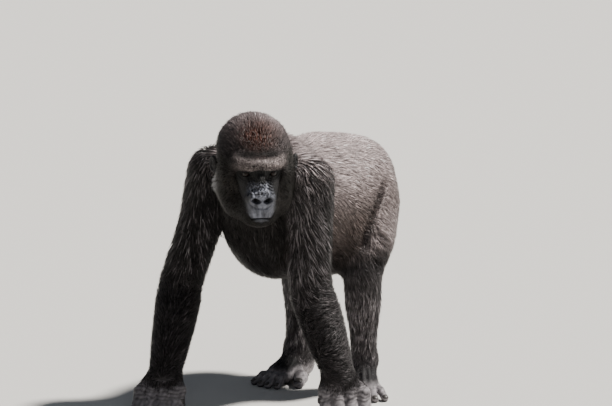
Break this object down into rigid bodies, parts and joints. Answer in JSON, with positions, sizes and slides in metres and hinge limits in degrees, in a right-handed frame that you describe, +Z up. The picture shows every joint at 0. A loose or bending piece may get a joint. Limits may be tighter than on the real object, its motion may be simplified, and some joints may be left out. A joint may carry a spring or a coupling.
{
  "type": "young western lowland gorilla standing on all fours",
  "caption": "Life-size young gorilla in a still knuckle-walking stance, head turned to its left, dark coat, standing on knuckles and soles.",
  "frame": {"origin": "bottom centre of the bounding box, on the level of the soles and knuckles", "axes": "+Z up, the trunk faces -Y, +X is the animal's own left"},
  "size_m": [0.5698, 0.7879, 0.8369],
  "materials": {
    "coat": "dense dark hair, greyer on the back and chestnut on the crown",
    "skin": "bare wrinkled slate-grey skin, slightly shiny",
    "eye": "wet dark brown"
  },
  "bodies": {
    "root": {"ear_l": "skin", "ear_r": "skin", "eye_l": "eye", "eye_r": "eye", "foot_l": "skin", "foot_r": "skin", "forearm_l": "coat", "forearm_r": "coat", "hand_l": "skin", "hand_r": "skin", "head": "coat", "neck": "coat", "shin_l": "coat", "shin_r": "coat", "thigh_l": "coat", "thigh_r": "coat", "trunk": "coat", "upper_arm_l": "coat", "upper_arm_r": "coat"}
  },
  "joints": []
}
